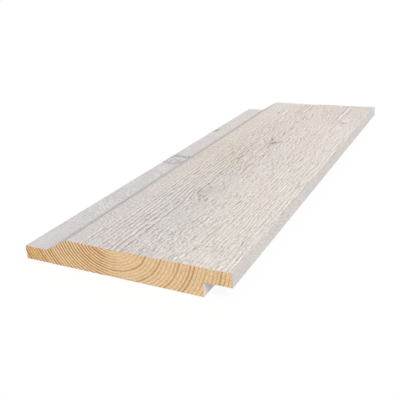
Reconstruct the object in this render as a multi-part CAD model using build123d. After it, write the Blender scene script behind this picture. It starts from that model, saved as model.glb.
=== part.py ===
"""Double rebated cladding board: one length of timber moulding, lying on its back with its face up.

The section has a lap along one long edge and a lip along the other. On a wall the lip of each
board covers the lap of the board below it, and the sloping shoulder leaves a shadow groove.
X runs across the board from lap to lip, Y along the grain and Z from the back to the face.
The origin is under the middle of the board, on the plane that its back lies on.
"""

import os
from math import radians, sin, tan

from build123d import *

# Driving sizes, in millimetres and degrees
board_length = 383.0
board_width = 148.0  # over lap and lip
board_thickness = 19.0

lap_width = 18.0  # from the board's edge to the foot of the shoulder
lap_thickness = 9.4
shoulder_angle = 29.0  # between the shoulder and the face
root_radius = 5.0  # hollow where the lap turns up into the shoulder
crest_radius = 3.0  # round where the shoulder turns over into the face

rebate_width = 18.0  # the lip's overhang
joint_clearance = 0.2  # play between this lip and the next board's lap
arris_radius = 0.3  # eased outer edges

# The shoulder's two rounds share its slope, and neither takes more than this part of it
round_share = 0.45


def shoulder_round(radius, slope_length):
    """The radius of a round at one end of the shoulder, limited by the slope that it starts from."""
    longest_tangent = round_share * slope_length
    return min(radius, longest_tangent / tan(radians(shoulder_angle) / 2))


def board_section():
    """The closed outline of the moulding, in the plane across the grain."""
    lap_edge = -board_width / 2
    lip_edge = board_width / 2
    rebate_wall = lip_edge - rebate_width
    rebate_height = lap_thickness + joint_clearance

    shoulder_rise = board_thickness - lap_thickness
    shoulder_slope = shoulder_rise / sin(radians(shoulder_angle))
    shoulder_foot = lap_edge + lap_width
    shoulder_crest = shoulder_foot + shoulder_rise / tan(radians(shoulder_angle))

    corners = [
        ((lap_edge, 0), arris_radius),
        ((rebate_wall, 0), arris_radius),
        ((rebate_wall, rebate_height), 0),  # cut square by the moulder
        ((lip_edge, rebate_height), arris_radius),
        ((lip_edge, board_thickness), arris_radius),
        ((shoulder_crest, board_thickness), shoulder_round(crest_radius, shoulder_slope)),
        ((shoulder_foot, lap_thickness), shoulder_round(root_radius, shoulder_slope)),
        ((lap_edge, lap_thickness), arris_radius),
    ]
    points = [point for point, _ in corners]
    radii = [radius for _, radius in corners]

    with BuildSketch(Plane.XZ) as section:
        with BuildLine():
            FilletPolyline(*points, radius=radii, close=True)
        make_face()
    return section.sketch


def cladding_board():
    """The section run along the grain, cut square at both ends."""
    return extrude(board_section(), amount=board_length / 2, both=True)


os.makedirs("parts", exist_ok=True)
export_step(cladding_board(), "parts/cladding_board.step")
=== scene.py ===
from math import ceil, cos, hypot, radians, sin

import bpy
import numpy as np
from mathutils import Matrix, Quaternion, Vector


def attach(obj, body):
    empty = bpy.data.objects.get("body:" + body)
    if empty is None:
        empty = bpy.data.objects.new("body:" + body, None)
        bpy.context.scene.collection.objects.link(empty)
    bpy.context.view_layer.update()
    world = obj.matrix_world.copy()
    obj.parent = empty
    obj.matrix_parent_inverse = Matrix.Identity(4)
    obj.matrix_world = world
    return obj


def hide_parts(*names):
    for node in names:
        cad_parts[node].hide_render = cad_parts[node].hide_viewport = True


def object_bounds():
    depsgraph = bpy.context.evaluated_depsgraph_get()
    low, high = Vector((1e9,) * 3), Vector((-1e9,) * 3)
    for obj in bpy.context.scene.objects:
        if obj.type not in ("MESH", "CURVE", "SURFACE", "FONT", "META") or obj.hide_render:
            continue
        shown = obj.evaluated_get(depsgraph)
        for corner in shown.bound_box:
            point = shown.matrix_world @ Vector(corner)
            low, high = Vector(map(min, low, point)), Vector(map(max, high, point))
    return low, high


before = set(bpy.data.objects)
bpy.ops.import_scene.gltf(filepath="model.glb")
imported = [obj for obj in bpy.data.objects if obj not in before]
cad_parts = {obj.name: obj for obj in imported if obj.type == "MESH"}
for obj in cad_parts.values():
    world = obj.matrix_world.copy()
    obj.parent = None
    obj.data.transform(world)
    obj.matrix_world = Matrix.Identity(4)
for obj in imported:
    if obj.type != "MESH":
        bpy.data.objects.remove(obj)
cadLow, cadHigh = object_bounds()
mm = 0.001
boardWidth, boardLength, boardThick = (cadHigh - cadLow) / mm
print("frame loaded, board in mm:", [round(side, 1) for side in (boardWidth, boardLength, boardThick)])


# Places on the board are in mm: across from the lap's edge, along from the near sawn end, up from the back
def boardPlace(x, y, z):
    return (x - cadLow.x) / mm, (y - cadLow.y) / mm, (z - cadLow.z) / mm


# One socket of a material, so that shader maths reads as plain sums
class Wire:
    def __init__(self, finish, socket):
        self.finish = finish
        self.socket = socket

    def math(self, operation, *inputs):
        return self.finish.node("ShaderNodeMath", {"operation": operation}, dict(enumerate(inputs)))

    def __add__(self, other):
        return self.math("ADD", self, other)

    __radd__ = __add__

    def __mul__(self, other):
        return self.math("MULTIPLY", self, other)

    __rmul__ = __mul__

    def __sub__(self, other):
        return self.math("SUBTRACT", self, other)

    def __rsub__(self, other):
        return self.math("SUBTRACT", other, self)

    def __truediv__(self, other):
        return self.math("DIVIDE", self, other)

    def __rtruediv__(self, other):
        return self.math("DIVIDE", other, self)

    # numpy hands np.sin(wire) and its like on to these
    def sin(self):
        return self.math("SINE", self)

    def sqrt(self):
        return self.math("SQRT", self)

    def exp(self):
        return self.math("EXPONENT", self)

    def __floor__(self):
        return self.math("FLOOR", self)

    def most(self, other):
        return self.math("MAXIMUM", self, other)


# The nodes of one material or world: every node is made by the node method
class Finish:
    def __init__(self, owner):
        owner.use_nodes = True
        self.owner = owner
        self.tree = owner.node_tree
        self.tree.nodes.clear()

    def node(self, kind, settings=None, values=None, output=0):
        made = self.tree.nodes.new(kind)
        for name, value in (settings or {}).items():
            setattr(made, name, value)
        for name, value in (values or {}).items():
            if isinstance(value, Wire):
                self.tree.links.new(value.socket, made.inputs[name])
            elif made.inputs[name].type == "RGBA":
                made.inputs[name].default_value = (*value, 1)
            else:
                made.inputs[name].default_value = value
        return Wire(self, made.outputs[output]) if made.outputs else made

    def place(self):
        seen = self.node("ShaderNodeTexCoord", output="Object")
        split = self.node("ShaderNodeSeparateXYZ", values={0: seen})
        axes = [Wire(self, split.socket.node.outputs[i]) for i in range(3)]
        return boardPlace(*axes)

    def stored(self, name):
        return self.node("ShaderNodeAttribute", {"attribute_name": name}, output="Fac")

    # soft random patches about 0, with the size of one in mm across, along and up
    def cloud(self, size, detail, seed, fine=0.55):
        seen = self.node("ShaderNodeTexCoord", output="Object")
        scale = tuple(1 / (side * mm) for side in size)
        stretched = self.node("ShaderNodeVectorMath", {"operation": "MULTIPLY_ADD"},
                              {0: seen, 1: scale, 2: (seed, seed * 1.7, seed * 0.6)})
        noise = self.node("ShaderNodeTexNoise", {"noise_dimensions": "3D"},
                          {"Vector": stretched, "Scale": 1.0, "Detail": detail, "Roughness": fine})
        return noise - 0.5

    def blend(self, mask, low, high):
        return self.node("ShaderNodeMix", {"data_type": "RGBA", "clamp_factor": True},
                         {0: mask, 6: low, 7: high}, 2)

    def shaded(self, colour, factor):
        return self.node("ShaderNodeVectorMath", {"operation": "SCALE"}, {0: colour, 3: factor})

    def bump(self, height, depth):
        values = {"Height": height, "Strength": 1.0, "Distance": depth * mm}
        return self.node("ShaderNodeBump", values=values)

    def surface(self, shader, output="ShaderNodeOutputMaterial"):
        self.node(output, values={"Surface": shader})
        return self.owner


# 0 before start and 1 after end, for numbers and wires alike
def eased(value, start, end):
    if isinstance(value, Wire):
        return value.finish.node("ShaderNodeMapRange", {"interpolation_type": "SMOOTHSTEP"},
                                 {"Value": value, "From Min": start, "From Max": end})
    share = np.clip((value - start) / (end - start), 0, 1)
    return share * share * (3 - 2 * share)


def within(value, start, end, soft):
    return eased(value, start - soft, start + soft) * (1 - eased(value, end - soft, end + soft))


def bell(value, middle, width):
    away = (value - middle) / width
    return np.exp(away * away * -1)


# The tree that the board was sawn from
growth = {
    "ringWidth": 1.9,
    "ringStart": 0.59,
    "flatten": 1.24,  # the rings are wider than they are deep
    "pithAcross": 69.3,
    "pithUp": 26.0,  # from the back, so over the face
}


def ringRadius(across, up):
    side = (across - growth["pithAcross"]) / growth["flatten"]
    deep = growth["pithUp"] - up
    return np.sqrt(side * side + deep * deep)


# Late wood through one ring, which darkens slowly and stops at once, and the ring's number from the pith
def lateWood(radius, begin=0.42):
    count = radius / growth["ringWidth"] + growth["ringStart"]
    ring = np.floor(count)
    part = count - ring
    return eased(part, begin, begin + 0.32) * (1 - eased(part, 0.79, 0.92)), ring


# Small knots in the face: how far they lean, and how dark they show through the coat
faceKnots = [
    {"across": 87.6, "along": 227.5, "wide": 2.9, "long": 4.8, "lean": 0.1, "dark": 1.2},
    {"across": 91.2, "along": 232.5, "wide": 2.1, "long": 2.8, "lean": 0.5, "dark": 0.8},
    {"across": 90.6, "along": 165.0, "wide": 1.6, "long": 5.0, "lean": 0.1, "dark": 0.7},
    {"across": 74.9, "along": 177.8, "wide": 1.3, "long": 3.6, "lean": -0.45, "dark": 1.0},
    {"across": 81.8, "along": 101.0, "wide": 4.6, "long": 7.0, "lean": 0.0, "dark": 0.10},
    {"across": 132.0, "along": 310.0, "wide": 1.9, "long": 2.0, "lean": 0.2, "dark": 1.1},
    {"across": 126.5, "along": 315.5, "wide": 3.0, "long": 4.5, "lean": -0.7, "dark": 0.06},
]

# Parts of the face where the brushes hardly bit: across, along, half width and half length
calmPatches = [
    (44.0, 135.0, 6.0, 12.0),
    (88.0, 50.0, 6.0, 9.0),
    (106.0, 72.0, 5.0, 7.0),
    (111.5, 36.0, 2.5, 10.0),
    (45.0, 238.0, 5.0, 8.0),
    (43.0, 320.0, 5.0, 18.0),
    (48.0, 370.0, 13.0, 22.0),
    (104.0, 205.0, 7.0, 12.0),
    (99.0, 182.0, 5.0, 9.0),
    (101.0, 265.0, 4.0, 7.0),
    (110.0, 366.0, 5.0, 9.0),
    (133.0, 357.0, 5.0, 10.0),
    (138.0, 297.0, 9.0, 11.0),
]


# 1 in the middle of a knot or a patch, falling away outside it
def spotShare(spot, across, along, spread=1.0):
    ahead = along - spot["along"]
    side = across - spot["across"] - ahead * spot["lean"]
    return bell(side, 0, spot["wide"] * spread) * bell(ahead, 0, spot["long"] * spread)


# Seeded random field for the relief, from -1 to 1
diceSide = 512
dice = np.random.default_rng(148).uniform(-1, 1, (diceSide, diceSide))


# Soft bumps of about this width and length in mm
def rough(across, along, wide, long, seed):
    u = across / wide + seed * 37.3
    v = along / long + seed * 91.7
    i = np.floor(u).astype(int)
    j = np.floor(v).astype(int)
    a = eased(u - i, 0, 1)
    b = eased(v - j, 0, 1)
    left, right = i % diceSide, (i + 1) % diceSide
    low, high = j % diceSide, (j + 1) % diceSide
    near = dice[left, low] * (1 - a) + dice[right, low] * a
    far = dice[left, high] * (1 - a) + dice[right, high] * a
    return near * (1 - b) + far * b


# 1 where the face is calm, 0 where it is brushed in full
def calmShare(across, along):
    calm = 0.8 * eased(rough(across, along, 9, 17, 9), 0.25, 0.6)
    for middle, start, wide, long in calmPatches:
        calm = np.maximum(calm, bell(across, middle, wide) * bell(along, start, long))
    return calm


# How the brushes took the soft wood out, with depths and places in mm
brushing = {
    "skin": 0.22,  # taken off all over
    "lipStrip": (106, 122),  # across, where the lines turn into fine threads
    "lineStrip": (46, 56),  # across, where the open lines beside the shoulder begin
    "lineStripEnd": (76, 80),
    "pithStrip": (78, 116, 5),  # across: from, to and softness
    "ringWidth": 2.5,
    "threads": 0.12,  # more rings to the mm on the lip side, where they stand steeper
    "threadsFrom": 20.0,  # from the pith
    "ringDepth": 0.52,
    "grooveWidth": 0.15,  # half of it, as a share of a ring
    "tears": 640,  # small ones, anywhere on the face
    "tearWidth": 0.3,
    "fibreWidth": 0.4,
    "swell": 0.3,  # a tear of full strength is this much wider
    "tearDepth": 0.5,
    "lineDepth": 0.3825,
    "tipDepth": 0.45,
    "deepest": 0.9,
    # painted shade: a groove's colour is darkened by how far it lies under the wood beside it, and a
    # ridge's lightened
    "hollow": 0.3,  # a groove this much under the wood beside it shows as dark as it can
}

# Marks between the rings: their size, how far the grain's sway moves them across and along, their depth
brushMarks = {
    "strands": {"wide": 1.1, "long": 8.0, "sway": 0.5, "slide": 0.0, "depth": 0.26, "seed": 4},
    "bands": {"wide": 1.9, "long": 11.0, "sway": 0.8, "slide": 0.0, "depth": 0.30, "seed": 5},
    "worms": {"wide": 1.25, "long": 3.4, "sway": 1.8, "slide": 3.0, "depth": 0.31, "seed": 6},
    "hairs": {"wide": 0.6, "long": 6.0, "sway": 0.0, "slide": 0.0, "depth": 0.10, "seed": 8},
}

# Over the face the pith comes down and rises again, and where it comes down it draws the flame
flame = {
    "across": 82.0,
    "nearHeight": 6.8,
    "lowHeight": 0.8,
    "farHeight": 4.0,
    "falls": (70, 130),  # along
    "rises": (235, 390),
    "tips": [
        {"across": 82.5, "along": 92.4, "closing": 0.184, "strength": 1.0},
        {"across": 82.0, "along": 110.6, "closing": 0.265, "strength": 0.6},
    ],
    "fades": (5, 22),  # ahead of a tip
}

# Long open lines of grain: across, from and to along, half width, and how open, which also sets their
# painted shade, below 0 for a raised ridge with a painted highlight
grainLines = [
    (70.6, 192.0, 330.0, 0.55, 1.0),
    (73.6, 255.0, 400.0, 0.6, 1.0),
    (71.0, 335.0, 400.0, 0.5, 1.0),
    (76.6, 338.0, 400.0, 0.5, 1.0),
    (81.4, 330.0, 400.0, 0.85, 1.0),
    (119.8, 346.0, 400.0, 0.85, 1.0),
    (119.6, 300.0, 348.0, 0.7, 0.4),
    (125.2, 334.0, 370.0, 0.65, 0.7),
    (125.2, 276.0, 304.0, 0.5, 1.0),
    (115.4, 255.0, 298.0, 0.5, 1.0),
    (116.9, 300.0, 326.0, 0.5, 1.0),
    (74.6, 128.0, 158.0, 0.45, 1.0),
    (92.6, 176.0, 199.0, 0.7, 1.0),
    (72.1, 215.0, 335.0, 0.6, -0.7),
    (122.3, 322.0, 384.0, 0.9, -1.1),
    (78.8, 340.0, 400.0, 0.6, -0.6),
]

# Torn fibres that stand out, cut in and given painted shade: across, along, half length, lean, strength
tornFibres = [
    (68.7, 80.5, 2.2, -0.2, 1.0),
    (113.0, 91.5, 2.5, 0.0, 0.7),
    (65.9, 44.3, 1.9, -0.2, 1.4),
    (70.0, 47.5, 2.5, 0.0, 0.35),
    (62.6, 51.5, 2.5, 0.0, 0.5),
    (74.4, 32.0, 1.8, -0.3, 0.7),
    (49.2, 21.0, 1.4, -0.2, 0.8),
    (109.0, 32.0, 9.0, 0.03, 0.4),
    (110.3, 52.0, 8.0, 0.0, 0.45),
    (112.4, 89.0, 4.5, 0.12, 0.7),
    (81.0, 93.0, 1.6, -0.3, 1.1),
    (84.0, 87.3, 1.7, -0.25, 1.4),
    (85.4, 91.2, 1.8, -0.3, 1.1),
    (88.4, 91.3, 1.8, -0.15, 0.6),
    (89.1, 87.0, 1.5, -0.35, 1.4),
    (87.2, 121.2, 1.6, -0.3, 0.7),
    (93.4, 9.0, 3.0, 0.0, 0.7),
    (102.0, 14.0, 2.5, -0.1, 0.6),
    (90.3, 21.3, 2.6, -0.1, 1.0),
    (92.7, 32.5, 3.2, 0.2, 0.8),
    (98.2, 58.5, 5.0, 0.0, 0.9),
    (104.0, 55.5, 5.0, -0.08, 0.45),
    (110.6, 65.5, 1.6, -0.2, 0.6),
    (115.7, 28.0, 3.5, -0.1, 0.4),
    (116.2, 20.0, 8.0, 0.04, 0.4),
    (117.2, 48.0, 12.0, 0.045, 0.5),
    (118.6, 73.0, 7.0, 0.06, 0.45),
    (119.2, 39.0, 1.6, -0.1, 0.5),
    (132.4, 59.0, 4.0, 0.0, 0.35),
    (123.4, 29.0, 2.0, -0.2, 0.5),
    (127.3, 19.5, 1.8, 0.2, 0.5),
    (85.8, 153.0, 4.0, 0.0, 0.9),
    (90.4, 154.0, 5.0, -0.1, 0.9),
    (74.4, 187.0, 2.4, -0.3, 0.8),
    (66.0, 187.0, 2.4, -0.2, 0.7),
    (87.3, 216.0, 4.5, -0.15, 1.2),
    (80.8, 243.0, 4.0, -0.25, 1.2),
    (83.4, 238.0, 3.0, -0.25, 1.2),
    (86.4, 262.0, 3.5, -0.12, 1.4),
    (126.0, 190.0, 5.0, 0.0, 1.2),
    (93.0, 333.5, 5.0, -0.1, 1.2),
    (88.2, 280.0, 4.5, -0.1, 1.2),
    (54.2, 337.0, 4.0, -0.1, 1.2),
    (87.0, 321.0, 5.0, -0.1, 1.2),
    (85.3, 303.0, 4.0, -0.1, 1.2),
    (142.5, 131.0, 3.0, 0.0, 0.8),
]


# How far the grain strays sideways, in mm
def grainSway(across, along):
    return 0.9 * rough(across, along, 9, 24, 1) + 0.5 * rough(across, along, 4, 9, 2)


# 1 on the lip's side of the face, where the threads are
def lipStrip(across):
    return eased(across, *brushing["lipStrip"])


# 1 where the open lines lie, which reach nearer to the shoulder at the near end
def lineStrip(across, along):
    nearer = 7 * (1 - eased(along, 15, 70))
    strip = eased(across + nearer, *brushing["lineStrip"]) * (1 - eased(across, *brushing["lineStripEnd"]))
    return strip * (1 - 0.25 * eased(along, 170, 250))


# The rings where the face cuts them: 1 in the middle of a groove
def ringGrooves(across, along, sway, lip):
    aside = 0.5 * sway + 0.34 * rough(across, along, 2.5, 4, 13)
    for knot in faceKnots:
        aside = aside + 0.8 * spotShare(knot, across, along, 2.4) * knot["wide"]
    aside = aside + 0.7 * lip * rough(across, along, 6, 14, 11)
    side = (across + aside - flame["across"]) / growth["flatten"]
    height = flame["nearHeight"]
    height = height + (flame["lowHeight"] - flame["nearHeight"]) * eased(along, *flame["falls"])
    height = height + (flame["farHeight"] - flame["lowHeight"]) * eased(along, *flame["rises"])
    radius = np.hypot(side, height)
    count = radius / brushing["ringWidth"] + 0.07 * np.sin(radius * 0.83 + 1.1)
    count = count + brushing["threads"] * np.maximum(side - brushing["threadsFrom"], 0)
    count = count + 0.35 * lip * np.sin(radius * 0.41 + 2)  # threads are spaced less evenly
    ring = np.floor(count)
    bolder = 0.4 * eased(along, 70, 125) * (1 - lip)
    return bell(count - ring, 0.5, brushing["grooveWidth"]) * (0.77 + 0.1 * np.sin(ring * 2.4) + bolder)


# How much of the grooves is left where they break off, in dashes past the flame
def unbrokenShare(across, along, lip):
    dashed = eased(along, 145, 185) * (1 - lip)
    share = 0.95 - 0.2 * dashed + 0.35 * rough(across, along, 2.6, 26, 3)
    share = share + (0.95 + 0.35 * dashed - 0.3 * lip) * rough(across, along, 1.7, 5, 10)
    share = share + 0.6 * lip * rough(across, along, 2.4, 9, 7) - 0.35 * lip * eased(along, 270, 320)
    return np.clip(share, 0, 1.2)


# One kind of mark over the whole face, in mm about 0
def brushMark(kind, across, along, sway):
    mark = brushMarks[kind]
    across = across + mark["sway"] * sway
    along = along + mark["slide"] * sway
    return mark["depth"] * rough(across, along, mark["wide"], mark["long"], mark["seed"])


# One torn fibre, full in its middle and fading to its sides and ends
def tearMark(fibre, across, along, width):
    middle, start, half, lean, strength = fibre
    ahead = along - start
    side = across - middle - ahead * lean
    return strength * bell(side, 0, width + brushing["swell"] * strength) * bell(ahead, 0, half)


# Small tears anywhere on the face, with the same values as the torn fibres
def scatteredTears():
    chance = np.random.default_rng(19)
    for _ in range(brushing["tears"]):
        yield (chance.triangular(48, 100, 147), chance.uniform(0, boardLength), chance.uniform(1.3, 3.4),
               chance.normal(-0.1, 0.14), chance.uniform(0.15, 0.6))


# The arched line that closes the flame at its near end
def flameTip(tip, across, along, sway):
    ahead = along - tip["along"]
    side = across + 0.7 * sway - tip["across"]
    closing = tip["closing"]
    gap = (ahead - closing * side * side) / np.hypot(1, 2 * closing * side)
    mark = bell(gap, 0, 0.75) * (1 - eased(ahead, *flame["fades"])) * (1 - 0.8 * eased(side, 0, 5))
    return tip["strength"] * mark * (0.85 + 0.4 * rough(across, along, 1.6, 2.6, 12))


# Marks that have their own place, each with its depth in mm and how much painted shade it gets
def placedMarks(across, along, sway):
    for fibre in tornFibres:
        yield tearMark(fibre, across, along, brushing["fibreWidth"]), brushing["tearDepth"], 1.0
    wave = 0.5 * np.sin(along / 31 + 72) + 0.5 * sway
    for middle, start, end, half, strength in grainLines:
        mark = strength * within(along, start, end, 8) * bell(across, middle + wave, half)
        yield mark, brushing["lineDepth"], 0.5
    for tip in flame["tips"]:
        yield flameTip(tip, across, along, sway), brushing["tipDepth"], 0.7


# Depth of the relief, where painted shade lies along its grooves and tears, below 0 a painted highlight on
# a ridge, and where it is calm
def brushedRelief(across, along):
    sway = grainSway(across, along)
    lip = lipStrip(across)
    lines = lineStrip(across, along)
    pith = within(across, *brushing["pithStrip"])
    threads = 0.38 + 0.08 * eased(along, 40, 110) - 0.1 * eased(along, 150, 200)
    groove = ringGrooves(across, along, sway, lip) * unbrokenShare(across, along, lip)
    groove = groove * np.clip(0.12 + 0.88 * lines + threads * lip, 0, 1)
    depth = brushing["skin"] + brushing["ringDepth"] * groove
    # painted shade along the ring grooves
    line = 0.6 * groove

    nearLip = lip * (1 - eased(along, 90, 160))
    markShares = {
        "strands": 0.25 + 0.2 * pith + lip * (0.65 - 0.4 * eased(along, 220, 300)) - 0.45 * nearLip,
        "bands": 0.2 + 0.9 * eased(along, 120, 210) * (1 - 0.6 * lip),
        "worms": pith + 0.5 * lines + 0.1 * nearLip,
        "hairs": 1.0,
    }
    for kind, share in markShares.items():
        depth = depth + share * brushMark(kind, across, along, sway)
    for fibre in scatteredTears():
        mark = tearMark(fibre, across, along, brushing["tearWidth"])
        depth = depth + brushing["tearDepth"] * mark
        line = line + mark

    calm = calmShare(across, along) * (1 - 0.7 * lines)
    held = 1 - 0.65 * calm
    depth = brushing["skin"] + (depth - brushing["skin"]) * held
    line = line * held
    for mark, deep, dark in placedMarks(across, along, sway):
        depth = depth + deep * mark
        line = line + dark * mark
    for knot in faceKnots:
        depth = depth * (1 - 0.7 * spotShare(knot, across, along))
    return np.clip(depth, 0, brushing["deepest"]), np.clip(line, -0.5, 1), calm


# The board's mesh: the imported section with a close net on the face, and the brushed relief cut into it
board = {
    "rows": 190,
    "faceStep": 0.28,  # mm between columns on the face
    "planedStep": 1.5,
    "edgeStep": 1.6,
    "backStep": 8.0,
    "besideCorner": 0.25,  # one more column this far from each end of a straight
    "touch": 0.01,  # a packed point this near to the end's plane lies on it
    "closest": 0.12,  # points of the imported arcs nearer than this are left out
    "flat": 0.5,  # a surface that goes this far across for each mm of it looks up or down
    "faceBand": 1.5,  # what looks up this near to the top is the face
    "backBand": 0.3,
    "besideShoulder": (40, 52),  # across, where the brushing comes in
    "levelReach": 5,  # columns to each side that a groove is measured against
    "sharpAngle": 62.0,
    "faceRoom": 2.0,  # room on the map for each mm of the face, the planed tops and the rest
    "planedRoom": 1.5,
    "restRoom": 0.8,
    "endRoom": 0.075,  # share of the map's height for each sawn end
    "mapGap": 0.006,
}


# The section's rim at the near end, clockwise from the lap's lower edge as seen from there, in mm
def sectionRim():
    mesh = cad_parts["cladding_board"].data
    follows = {}
    for face in mesh.polygons:
        corners = [mesh.vertices[i].co for i in face.vertices]
        onEnd = [abs(corner.y - cadLow.y) < board["touch"] * mm for corner in corners]
        if all(onEnd):
            continue
        for i in range(len(corners)):
            j = (i + 1) % len(corners)
            if onEnd[i] and onEnd[j]:
                start, end = (boardPlace(*corners[k])[0::2] for k in (i, j))
                follows[tuple(round(side, 3) for side in start)] = tuple(round(side, 3) for side in end)
    first = min(follows)
    rim = [first]
    while follows[rim[-1]] != first:
        rim.append(follows[rim[-1]])
    return rim


# Fewer points on the small arcs, more on the long straights
def netColumns(rim):
    kept = [rim[0]]
    for i in range(1, len(rim)):
        after = rim[(i + 1) % len(rim)]
        spaced = hypot(rim[i][0] - kept[-1][0], rim[i][1] - kept[-1][1]) > board["closest"]
        if spaced or hypot(after[0] - rim[i][0], after[1] - rim[i][1]) > board["closest"]:
            kept.append(rim[i])
    columns = []
    for start, end in zip(kept, kept[1:] + kept[:1]):
        length = hypot(end[0] - start[0], end[1] - start[1])
        sideways = (end[0] - start[0]) / length  # 1 where the surface looks up
        high = (start[1] + end[1]) / 2
        if sideways > board["flat"]:
            step = board["faceStep"] if high > boardThick - board["faceBand"] else board["planedStep"]
        else:
            step = board["backStep"] if sideways < -board["flat"] else board["edgeStep"]
        count = max(1, ceil(length / step - 0.01))
        shares = [k / count for k in range(count)]
        beside = board["besideCorner"] / length
        if length / count > 2 * board["besideCorner"]:
            shares = sorted(shares + [beside, 1 - beside])
        for share in shares:
            columns.append((start[0] + (end[0] - start[0]) * share, start[1] + (end[1] - start[1]) * share))
    return np.array(columns)


def buildBoard():
    columns = netColumns(sectionRim())
    ahead = np.roll(columns, -1, axis=0) - columns
    ahead /= np.linalg.norm(ahead, axis=1, keepdims=True)
    mean = ahead + np.roll(ahead, 1, axis=0)
    mean /= np.linalg.norm(mean, axis=1, keepdims=True)
    outward = np.stack([-mean[:, 1], mean[:, 0]], 1)

    rows = board["rows"]
    along = np.linspace(0, boardLength, rows + 1)[:, None]
    across = columns[None, :, 0] + 0 * along
    up = columns[None, :, 1] + 0 * along
    along = along + 0 * across
    onFace = eased(up, boardThick - 1.0, boardThick - 0.05) * (outward[None, :, 1] > board["flat"])
    brushed = onFace * (0.4 + 0.6 * eased(across, *board["besideShoulder"]))
    depth, line, calm = (brushed * field for field in brushedRelief(across, along))
    places = np.stack([across - depth * outward[None, :, 0], along, up - depth * outward[None, :, 1]], -1)
    corners = places.reshape(-1, 3) * mm + np.array(cadLow)

    # how far each point lies under the wood beside it, which the white coat paints as shade in the grooves
    # and as highlight on the ridges
    reach = board["levelReach"]
    level = sum(np.roll(depth, k, axis=1) for k in range(-reach, reach + 1)) / (2 * reach + 1)
    hollow = onFace * np.clip((depth - level) / brushing["hollow"], -1, 1)

    count = len(columns)
    row, column = np.meshgrid(np.arange(rows), np.arange(count), indexing="ij")
    beside = (column + 1) % count
    quads = np.stack([row * count + column, row * count + beside,
                      (row + 1) * count + beside, (row + 1) * count + column], -1).reshape(-1, 4)
    nearEnd = list(range(count))[::-1]
    farEnd = list(range(rows * count, (rows + 1) * count))
    mesh = bpy.data.meshes.new("claddingBoard")
    mesh.from_pydata(corners.tolist(), [], quads.tolist() + [nearEnd, farEnd])

    for name, field in (("hollow", hollow), ("line", line), ("calm", calm)):
        stored = mesh.attributes.new(name, "FLOAT", "POINT")
        stored.data.foreach_set("value", field.astype(np.float32).ravel())

    # finish 0 is the white coat, 1 the back's and 2 that of the sawn ends
    isBack = (ahead[:, 0] < -board["flat"]) & (columns[:, 1] < board["backBand"])
    slots = np.concatenate([np.tile(isBack.astype(np.int32), rows), [2, 2]]).astype(np.int32)
    mesh.polygons.foreach_set("material_index", slots)
    mesh.shade_smooth()
    mesh.set_sharp_from_angle(angle=radians(board["sharpAngle"]))
    layMap(mesh, columns, ahead, rows, places)

    piece = bpy.data.objects.new("cladding_board_dressed", mesh)
    bpy.context.scene.collection.objects.link(piece)
    print("board built,", len(mesh.polygons), "faces, deepest groove", round(float(depth.max()), 2), "mm")
    return piece


# The bake map: the long faces side by side with more room across the face, the sawn ends below them
def layMap(mesh, columns, ahead, rows, places):
    count = len(columns)
    gap = board["mapGap"]
    lengths = np.linalg.norm(np.roll(columns, -1, axis=0) - columns, axis=1)
    looksUp = ahead[:, 0] > board["flat"]
    onFace = looksUp & (columns[:, 1] > boardThick - board["faceBand"])
    room = np.where(onFace, board["faceRoom"], np.where(looksUp, board["planedRoom"], board["restRoom"]))
    reach = np.concatenate([[0], np.cumsum(lengths * room)])
    across = gap + (1 - 2 * gap) * reach / reach[-1]
    floor = 2 * (board["endRoom"] + gap) + gap
    along = floor + (1 - gap - floor) * np.arange(rows + 1) / rows

    row, column = np.meshgrid(np.arange(rows), np.arange(count), indexing="ij")
    u = np.stack([across[column], across[column + 1], across[column + 1], across[column]], -1)
    v = np.stack([along[row], along[row], along[row + 1], along[row + 1]], -1)
    spots = np.stack([u, v], -1).reshape(-1, 2)
    ends = []
    for k, ring in enumerate((places[0][::-1], places[-1])):
        low = gap + k * (board["endRoom"] + gap)
        endU = gap + (1 - 2 * gap) * ring[:, 0] / boardWidth
        ends.append(np.stack([endU, low + board["endRoom"] * ring[:, 2] / boardThick], -1))
    layer = mesh.uv_layers.new(name="OFBake")
    layer.data.foreach_set("uv", np.concatenate([spots] + ends).astype(np.float32).ravel())


# White coat over the brushed face and the planed edges, with the places where one tone turns into the next,
# and the painted shade, light and highlights it carries
whiteCoat = {
    "greyWhite": (0.634, 0.592, 0.574),
    "creamWhite": (0.652, 0.594, 0.535),
    "creamAlong": (60, 210),
    "farWhite": (0.704, 0.632, 0.582),
    "farAlong": (200, 320),
    "brightWhite": (0.746, 0.686, 0.630),
    "brightAcross": (76, 132),
    "lipSide": (0.735, 0.686, 0.645),
    "lipSideAcross": (126, 140),
    "rosy": (0.710, 0.615, 0.590),
    "greenish": (0.662, 0.640, 0.565),
    "ochre": (0.610, 0.535, 0.430),
    "flameFill": (0.600, 0.530, 0.470),
    "lavender": (0.706, 0.632, 0.622),
    "farCorner": (0.690, 0.660, 0.612),
    "redKnot": (0.640, 0.520, 0.470),
    "smoothPatch": (0.690, 0.640, 0.632),
    # painted highlight on raised fibres
    "highlightStroke": (0.890, 0.825, 0.770),
    "brightness": 1.045,
    # painted shade and highlight: grooves and dark lines darkened and tinted brown, ridges lightened
    "hollowShade": 0.26,
    "lineShade": 0.25,
    "grooveShadeTint": (0.330, 0.250, 0.185),
    "grooveShadeTintShare": 0.3,
    "knotTone": (0.340, 0.280, 0.235),
    "primer": (0.648, 0.618, 0.610),
    "farPrimer": (0.690, 0.640, 0.625),
    "farPrimerAlong": (190, 330),
    # painted shade: the upper shoulder is darker where it slopes away from the light
    "shoulder": (0.560, 0.507, 0.466),
    "shoulderAcross": (25.5, 27.5),
    "edgeWhite": (0.652, 0.606, 0.578),
    "edgeAcross": (90, 100),
    # the rebate's primer, lightened past the other edges as painted light against the shade under the lip
    "rebateToneAndLight": (0.760, 0.700, 0.690),
    "roughness": 0.62,
    "bumpDepth": 0.5,  # mm
}
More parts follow.
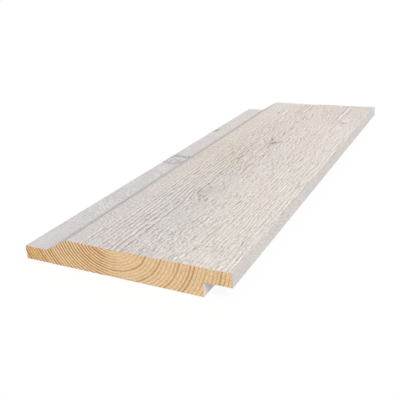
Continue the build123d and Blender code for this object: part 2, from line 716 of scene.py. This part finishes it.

# Patches of another tone on the brushed face, and three painted highlights on raised fibres
facePatches = [
    {"tone": "ochre", "share": 0.35, "across": 67, "along": 181, "wide": 9, "long": 15, "lean": 0},
    {"tone": "flameFill", "share": 0.6, "across": 81.5, "along": 102, "wide": 8, "long": 10, "lean": 0},
    {"tone": "lavender", "share": 0.5, "across": 102, "along": 195, "wide": 17, "long": 48, "lean": 0},
    {"tone": "farCorner", "share": 0.8, "across": 44, "along": 376, "wide": 13, "long": 22, "lean": 0},
    {"tone": "redKnot", "share": 0.5, "across": 126, "along": 315, "wide": 3.5, "long": 9, "lean": -0.6},
    {"tone": "smoothPatch", "share": 0.9, "across": 138, "along": 297, "wide": 8, "long": 11, "lean": 0},
    # painted highlights: three raised fibres lit bright
    {"tone": "highlightStroke", "share": 1, "across": 130.9, "along": 316.5, "wide": 1.5, "long": 4.2, "lean": -0.2},
    {"tone": "highlightStroke", "share": 1, "across": 131.9, "along": 324, "wide": 1.5, "long": 4.2, "lean": -0.2},
    {"tone": "highlightStroke", "share": 1, "across": 132.3, "along": 292, "wide": 1.5, "long": 4.2, "lean": -0.2},
]

# Patches that are only a little lighter
lighterPatches = [
    {"gain": 0.05, "across": 78, "along": 250, "wide": 7, "long": 36, "lean": 0},
    {"gain": 0.04, "across": 40, "along": 245, "wide": 9, "long": 40, "lean": 0},
]


# How pebbled the coat is: most over the pith, on the lip side, beside the shoulder and among the open lines
def pebbleShare(finish, across, along, amongLines):
    share = 0.6 + within(across, 80, 116, 8) * 0.6
    share = share + lipStrip(across) * (0.3 - eased(along, 180, 260) * 0.25)
    share = share + (1 - eased(across, 42, 50)) * 0.6
    share = share + within(across, 36, 84, 6) * bell(along, 225, 85) * 0.7
    share = share + amongLines * (1 - eased(along, 60, 150)) * 0.4
    return share * (1.12 - finish.stored("calm") * 0.8)


# Colour of the brushed face, with painted shade in its grooves and painted highlights on its ridges, and
# the height of its fine pebbles
def brushedFace(finish, across, along):
    coat = whiteCoat
    drift = finish.cloud((34, 120, 34), detail=3, seed=4.0)
    drifted = along + drift * 160
    tone = finish.blend(eased(drifted, *coat["creamAlong"]), coat["greyWhite"], coat["creamWhite"])
    tone = finish.blend(eased(drifted, *coat["farAlong"]), tone, coat["farWhite"])
    brightShare = eased(across + drift * 40, *coat["brightAcross"]) * (0.9 - eased(along, 270, 340) * 0.45)
    tone = finish.blend(brightShare, tone, coat["brightWhite"])
    lipShare = eased(across, *coat["lipSideAcross"]) * (0.5 - eased(along, 240, 300) * 0.4)
    tone = finish.blend(lipShare, tone, coat["lipSide"])
    hue = finish.cloud((11, 22, 11), detail=2, seed=6.5)
    tone = finish.blend(eased(hue, 0.02, 0.2) * 0.4, tone, coat["rosy"])
    tone = finish.blend(eased(hue * -1, 0.02, 0.2) * 0.4, tone, coat["greenish"])
    for patch in facePatches:
        share = spotShare(patch, across, along) * patch["share"]
        tone = finish.blend(share, tone, coat[patch["tone"]])

    amongLines = within(across, 46, 80, 5)
    pebbles = finish.cloud((1.2, 2.4, 1.2), detail=2, seed=2.0, fine=0.7)
    pebbles = pebbles * pebbleShare(finish, across, along, amongLines)
    streaks = finish.cloud((1.8, 34, 1.8), detail=3, seed=9.0)
    specks = finish.cloud((0.8, 1.7, 0.8), detail=1, seed=11.0, fine=0.7)
    line = finish.stored("line") * (1 + specks * 3.5)
    # painted shade in the grooves, tears and dark lines, and painted highlight on the ridges
    shade = streaks * 0.2 + pebbles - finish.stored("hollow") * coat["hollowShade"]
    shade = shade - line * coat["lineShade"]
    for patch in lighterPatches:
        shade = shade + spotShare(patch, across, along) * patch["gain"]
    shade = shade - eased(along, 285, 345) * eased(across, 90, 120) * 0.05
    shade = shade + specks * (0.35 + amongLines * 0.25)
    tone = finish.shaded(tone, coat["brightness"] + shade)
    # painted shade in the grooves, tinted brown
    tone = finish.blend(line * coat["grooveShadeTintShare"], tone, coat["grooveShadeTint"])

    fibres = finish.cloud((1.0, 5, 1.0), detail=2, seed=5.0)
    knotMark = 0
    for knot in faceKnots:
        knotMark = spotShare(knot, across, along) * knot["dark"] + knotMark
    return finish.blend(knotMark * (0.75 + fibres * 1.2), tone, coat["knotTone"]), pebbles


# Colour of the planed lap, shoulder, edges and rebate, with painted shade on the upper shoulder and painted
# light in the rebate
def planedEdges(finish, across, along, up, grains):
    coat = whiteCoat
    mottle = finish.cloud((9, 26, 9), detail=2, seed=3.0)
    tone = finish.blend(eased(along, *coat["farPrimerAlong"]), coat["primer"], coat["farPrimer"])
    # painted shade on the upper shoulder
    tone = finish.blend(eased(across, *coat["shoulderAcross"]), tone, coat["shoulder"])
    tone = finish.blend(eased(across, *coat["edgeAcross"]), tone, coat["edgeWhite"])
    # the rebate's primer with painted light against its shade
    inRebate = eased(across, 128, 130) * (1 - eased(up, 9.7, 10.2))
    tone = finish.blend(inRebate, tone, coat["rebateToneAndLight"])
    speckle = grains * (1.1 + mottle * 2.4) * (0.36 + eased(along, 10, 60) * 0.64)
    pebbles = finish.cloud((1.8, 3.6, 1.8), detail=2, seed=4.5, fine=0.65)
    pebbles = pebbles * (bell(along, 95, 26) * 0.5 + 0.12)
    tone = finish.shaded(tone, 1.01 + speckle + pebbles + mottle * 0.16)
    return lapMarks(finish, tone, across, along, up, grains, mottle)


# The lap's big knot, a marbled oval with a dark rim, and a dark stain further on
lapKnot = {
    "across": 9.0,
    "along": 185.3,
    "wide": 16.0,
    "long": 10.6,
    "pale": (0.760, 0.710, 0.760),
    "vein": (0.250, 0.230, 0.240),
    "rim": (0.250, 0.225, 0.200),
    "green": (0.560, 0.560, 0.440),  # behind the knot
    "greenAlong": 199.9,
    "stainAlong": 285.0,
}


def lapMarks(finish, tone, across, along, up, grains, mottle):
    knot = lapKnot
    onLap = (1 - eased(across, 17, 20)) * eased(up, 4, 9)
    veins = finish.cloud((3.2, 2.2, 3.2), detail=3, seed=8.0)
    aside = (across - knot["across"]) / knot["wide"]
    ahead = (along - knot["along"]) / knot["long"]
    reach = np.sqrt(aside * aside + ahead * ahead) + mottle * 0.9 + veins * 0.6 + grains * 0.3
    ripple = eased(np.sin(reach * 12 + veins * 9) + veins * 4, -0.3, 1.0)
    marbled = finish.blend(ripple * 0.85, knot["pale"], knot["vein"])
    rim = bell(reach, 1.0, 0.12) * (0.8 + eased(ahead, 0, 0.5) * 0.4)
    green = bell(across, 4, 5) * bell(along, knot["greenAlong"], 3.5)
    tone = finish.blend(green * 0.6, tone, knot["green"])
    tone = finish.blend((1 - eased(reach, 0.95, 1.05)) * onLap * 0.9, tone, marbled)
    tone = finish.blend(rim * onLap * (0.8 + grains * 2.4), tone, knot["rim"])
    past = along - knot["stainAlong"]
    stain = bell(across - past * 0.25, 3.2, 1.8) * bell(past, 0, 6)
    return finish.blend(stain * (0.8 + grains * 1.5), tone, knot["rim"])


def makeWhiteCoat():
    finish = Finish(bpy.data.materials.new("white coat"))
    across, along, up = finish.place()
    grains = finish.cloud((0.9, 1.3, 0.9), detail=1, seed=7.0, fine=0.7)
    face, pebbles = brushedFace(finish, across, along)
    planed = planedEdges(finish, across, along, up, grains)

    onFace = eased(across, 34.9, 35.6) * (1 - eased(across, boardWidth - 1.0, boardWidth - 0.5))
    onFace = onFace * eased(up, boardThick - 3, boardThick - 2)
    hairs = finish.cloud((0.5, 6, 0.5), detail=3, seed=6.0)
    relief = (hairs * 0.5 + pebbles) * onFace + grains * (1 - onFace)
    shader = finish.node("ShaderNodeBsdfPrincipled", values={
        "Base Color": finish.blend(onFace, planed, face),
        "Roughness": whiteCoat["roughness"] + grains * 0.2,
        "Specular IOR Level": 0.3,
        "Normal": finish.bump(relief, whiteCoat["bumpDepth"]),
    })
    return finish.surface(shader)


# Thin coat on the planed back, with the timber showing through
backCoat = {
    "white": (0.640, 0.600, 0.560),
    "timber": (0.560, 0.430, 0.290),
    "showThrough": 0.5,
    "roughness": 0.7,
}


def makeBackCoat():
    coat = backCoat
    finish = Finish(bpy.data.materials.new("thin back coat"))
    across, _, up = finish.place()
    late, _ = lateWood(ringRadius(across, up))
    cover = finish.cloud((14, 60, 14), detail=3, seed=8.0)
    streaks = finish.cloud((1.2, 30, 1.2), detail=3, seed=1.0)
    thin = eased(cover + streaks * 0.7 + late * 0.22, -0.08, 0.35)
    colour = finish.blend(thin * coat["showThrough"], coat["white"], coat["timber"])
    colour = finish.shaded(colour, 1.03 - late * 0.1 + streaks * 0.12)
    shader = finish.node("ShaderNodeBsdfPrincipled", values={
        "Base Color": colour,
        "Roughness": coat["roughness"] + streaks * 0.2,
        "Specular IOR Level": 0.3,
        "Normal": finish.bump(streaks + late * 0.4, 0.12),
    })
    return finish.surface(shader)


# Bare softwood at the two sawn ends
sawnEnd = {
    "early": (0.897, 0.636, 0.370),
    "late": (0.330, 0.115, 0.010),
    "bold": (0.420, 0.170, 0.020),
    "streak": (0.520, 0.250, 0.060),
    "streakRadius": 13.4,  # a short amber streak over the pith, on the lap's side
    "amber": (0.780, 0.470, 0.195),
    "lapRings": (11, 22, 23, 26, 31),  # dark rings on the lap's side, counted from the pith
    "lipRings": (11, 15, 20, 23, 24, 31),
    "coatOver": 0.7,  # mm of coat that runs round the lip's corner on to the end
    "roughness": 0.72,
}


def makeSawnEnd():
    wood = sawnEnd
    finish = Finish(bpy.data.materials.new("sawn softwood end"))
    across, _, up = finish.place()
    radius = ringRadius(across, up) + finish.cloud((7, 40, 7), detail=3, seed=2.0) * 0.8
    late, ring = lateWood(radius)
    lapSide = 1 - eased(across, 60, 76)
    dark = 0
    for number in wood["lapRings"]:
        dark = bell(ring, number, 0.4) * lapSide + dark
    for number in wood["lipRings"]:
        dark = bell(ring, number, 0.4) * (1 - lapSide) + dark
    fade = finish.cloud((10, 40, 10), detail=2, seed=5.0)
    outer = eased(radius, 39, 42)
    strength = lapSide * (0.72 - outer * 0.22) + np.sin(ring * 2.4) * 0.1
    strength = strength + eased(across, 120, 130) * 0.1 + 0.32
    strength = strength * (1 + fade * 1.2) * (1 - bell(across, 74, 9) * eased(up, 12, 15) * 0.4)
    bold = dark * (lapSide * (outer * 0.5 - 0.1) + 0.45) * (1 + fade)

    amberShare = (1 - eased(across + fade * 16, 4, 26)) * 0.7 + bell(across, 52, 8) * 0.2 + 0.06
    colour = finish.blend(amberShare, wood["early"], wood["amber"])
    colour = finish.blend(late * strength, colour, wood["late"])
    colour = finish.blend(lateWood(radius, 0.2)[0] * bold, colour, wood["bold"])
    streak = bell(radius, wood["streakRadius"], 0.7) * within(across, 53, 65, 1.5)
    colour = finish.blend(streak, colour, wood["streak"])
    pores = finish.cloud((0.9, 10, 0.9), detail=2, seed=3.0, fine=0.7)
    flecks = finish.cloud((2.6, 20, 0.9), detail=2, seed=7.0)
    colour = finish.shaded(colour, 1.0 + pores * 1.15 + flecks * 0.45)
    coatEnd = boardWidth - wood["coatOver"]
    overrun = eased(across + pores * 0.8, coatEnd - 0.2, coatEnd + 0.2)
    colour = finish.blend(overrun, colour, whiteCoat["edgeWhite"])
    saw = np.sin((across + up * 0.35) * 5.2)
    shader = finish.node("ShaderNodeBsdfPrincipled", values={
        "Base Color": colour,
        "Roughness": wood["roughness"] + late * -0.1,
        "Specular IOR Level": 0.25,
        "Normal": finish.bump(pores + late * 0.5 + saw * 0.08, 0.1),
    })
    return finish.surface(shader)


piece = buildBoard()
for made in (makeWhiteCoat(), makeBackCoat(), makeSawnEnd()):
    piece.data.materials.append(made)
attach(piece, "root")
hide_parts("cladding_board")
print("finishes on:", [slot.name for slot in piece.material_slots])

# White studio: floor and world are plain white to the camera and light the board evenly
studio = {
    "floorSide": 60.0,  # m
    "floorDrop": 0.3,  # mm under the board's back
    "floorGrey": (0.72, 0.72, 0.72),
    "floorGlow": 0.7,  # what the floor lights the board with
    "glowShare": 0.8,
    "white": (1.0, 1.0, 1.0),
    "shadowShare": 0.12,  # how much of the floor's white takes the shadow
    "worldLight": 0.58,
    "keyLight": 1.88,
    "keyFrom": (0.60, -0.38, 0.70),
    "keySpread": 24.0,
}


# 1 where the camera looks, straight or by a mirror or glass, and 0 for light on its way to the board
def seenDirect(finish):
    path = finish.node("ShaderNodeLightPath")
    rays = [Wire(finish, path.socket.node.outputs[name])
            for name in ("Is Camera Ray", "Is Glossy Ray", "Is Transmission Ray")]
    return rays[0].most(rays[1]).most(rays[2])


def makeFloor():
    finish = Finish(bpy.data.materials.new("studio floor"))
    plain = finish.node("ShaderNodeBsdfDiffuse", values={"Color": studio["floorGrey"]})
    lit = finish.node("ShaderNodeEmission",
                      values={"Color": studio["white"], "Strength": studio["floorGlow"]})
    grey = finish.node("ShaderNodeMixShader", values={0: studio["glowShare"], 1: plain, 2: lit})
    matt = finish.node("ShaderNodeBsdfDiffuse", values={"Color": studio["white"]})
    glow = finish.node("ShaderNodeEmission", values={"Color": studio["white"], "Strength": 1.0})
    white = finish.node("ShaderNodeMixShader", values={0: studio["shadowShare"], 1: glow, 2: matt})
    mixed = finish.node("ShaderNodeMixShader", values={0: seenDirect(finish), 1: grey, 2: white})
    side = studio["floorSide"] / 2
    level = cadLow.z - studio["floorDrop"] * mm
    mesh = bpy.data.meshes.new("studioFloor")
    corners = [(-side, -side, level), (side, -side, level), (side, side, level), (-side, side, level)]
    mesh.from_pydata(corners, [], [(0, 1, 2, 3)])
    mesh.materials.append(finish.surface(mixed))
    floor = bpy.data.objects.new("studio_floor", mesh)
    bpy.context.scene.collection.objects.link(floor)


def makeLight():
    finish = Finish(bpy.data.worlds.new("studio"))
    soft = finish.node("ShaderNodeBackground",
                       values={"Color": studio["white"], "Strength": studio["worldLight"]})
    white = finish.node("ShaderNodeBackground", values={"Color": studio["white"], "Strength": 1.0})
    mixed = finish.node("ShaderNodeMixShader", values={0: seenDirect(finish), 1: soft, 2: white})
    bpy.context.scene.world = finish.surface(mixed, "ShaderNodeOutputWorld")

    lamp = bpy.data.lights.new("soft key", "SUN")
    lamp.energy = studio["keyLight"]
    lamp.angle = radians(studio["keySpread"])
    key = bpy.data.objects.new("soft key", lamp)
    key.rotation_mode = "QUATERNION"
    key.rotation_quaternion = (-Vector(studio["keyFrom"])).to_track_quat("-Z", "Y")
    bpy.context.scene.collection.objects.link(key)


makeFloor()
makeLight()

# The view: a 50 mm lens close to the near end, turned a little about its own axis
view = {
    "lens": 50.0,
    "sensor": 36.0,
    "target": (74.95, 104.38, 10.0),  # across, along, up
    "azimuth": 28.436,
    "elevation": 22.355,
    "roll": -3.856,
    "distance": 414.16,
}


def makeCamera():
    turn, rise = radians(view["azimuth"]), radians(view["elevation"])
    back = Vector((sin(turn) * cos(rise), -cos(turn) * cos(rise), sin(rise)))
    data = bpy.data.cameras.new("view")
    data.lens = view["lens"]
    data.sensor_width = view["sensor"]
    data.clip_start = 10 * mm
    camera = bpy.data.objects.new("view", data)
    camera.location = cadLow + (Vector(view["target"]) + back * view["distance"]) * mm
    camera.rotation_mode = "QUATERNION"
    roll = Quaternion((0, 0, 1), radians(view["roll"]))
    camera.rotation_quaternion = (-back).to_track_quat("-Z", "Y") @ roll
    bpy.context.scene.collection.objects.link(camera)
    bpy.context.scene.camera = camera


makeCamera()
bpy.context.scene.view_settings.view_transform = "Standard"
print("studio and camera set")
